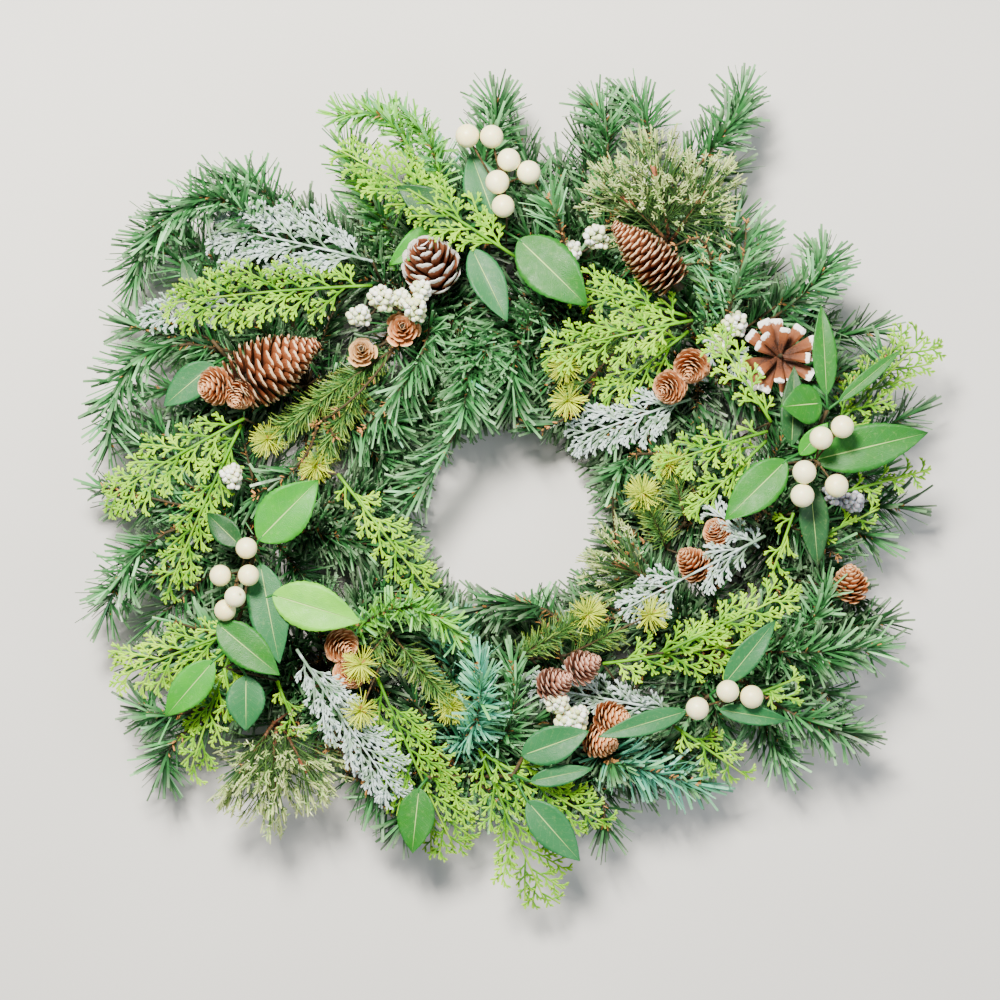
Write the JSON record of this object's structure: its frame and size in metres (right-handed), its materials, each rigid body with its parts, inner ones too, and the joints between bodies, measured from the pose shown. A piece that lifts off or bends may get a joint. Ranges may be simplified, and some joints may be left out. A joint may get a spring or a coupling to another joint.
{
  "type": "mixed evergreen wreath",
  "caption": "Round mixed evergreen wreath on a hidden wire ring, with pine, cedar, frosted juniper, laurel-like leaves, cones and pale berries, lying on its back.",
  "frame": {"origin": "middle of the outline, on the surface that the wreath's back rests on", "axes": "+Z out of the wreath's face, along the hole; +Y to the top of the wreath as it hangs; +X to its right"},
  "size_m": [0.6192, 0.5942, 0.1309],
  "materials": {
    "wire": "green enamelled steel wire, satin",
    "pine": "cut film needles, deep green to teal with a mint sheen",
    "bright_pine": "cut film needles, bright yellow-green",
    "cedar": "moulded scaly frond, lime to yellow-green",
    "frost": "moulded scaly frond under blue-white frosting",
    "leaf": "printed cloth leaf, mid green with pale midrib and side veins",
    "cream_berry": "cream lacquered berry with a fine warm mottle",
    "pale_berry": "small frosted berries, white to pale green",
    "cone": "dry cone scales, brown with tan edges, some tips painted white",
    "spruce": "fine needles, olive green with yellow ends",
    "tuft": "long needles, olive green with pale flocked ends"
  },
  "bodies": {
    "root": {"berry_cluster_left": "pale_berry", "berry_cluster_right": "pale_berry", "berry_cluster_top": "pale_berry", "berry_cluster_upper_left": "pale_berry", "cedar_bottom": "cedar", "cedar_bottom_left": "cedar", "cedar_centre_right": "cedar", "cedar_inner_left": "cedar", "cedar_left": "cedar", "cedar_left_lower": "cedar", "cedar_left_upper": "cedar", "cedar_lower_right": "cedar", "cedar_right": "cedar", "cedar_top": "cedar", "cedar_upper_right": "cedar", "cone_brown_top": "cone", "cone_long_left": "cone", "cone_open_right": "cone", "cone_orange_right": "cone", "cone_pair_inner": "cone", "cone_pair_lower": "cone", "cone_pair_lower_left": "cone", "cone_pair_right": "cone", "cone_pair_rosette": "cone", "cone_twins": "cone", "cone_white_tipped": "cone", "cream_berries_left": "cream_berry", "cream_berries_lower_right": "cream_berry", "cream_berries_right": "cream_berry", "cream_berries_top": "cream_berry", "frosted_juniper_bottom": "frost", "frosted_juniper_centre": "frost", "frosted_juniper_lower_left": "frost", "frosted_juniper_right": "frost", "frosted_juniper_upper_left": "frost", "frosted_tuft_inner": "tuft", "frosted_tuft_lower_left": "tuft", "frosted_tuft_top": "tuft", "leafy_sprig_bottom": "leaf", "leafy_sprig_left": "leaf", "leafy_sprig_lower_right": "leaf", "leafy_sprig_right": "leaf", "leafy_sprig_top": "leaf", "leafy_sprig_upper_left": "leaf", "pine_bunch_01": "pine", "pine_bunch_02": "pine", "pine_bunch_03": "pine", "pine_bunch_04": "bright_pine", "pine_bunch_05": "pine", "pine_bunch_06": "pine", "pine_bunch_07": "pine", "pine_bunch_08": "pine", "pine_bunch_09": "pine", "pine_bunch_10": "pine", "spruce_lower": "spruce", "spruce_lower_left": "spruce", "spruce_right": "spruce", "spruce_top": "spruce", "spruce_upper_left": "spruce", "wire_ring": "wire"}
  },
  "joints": []
}
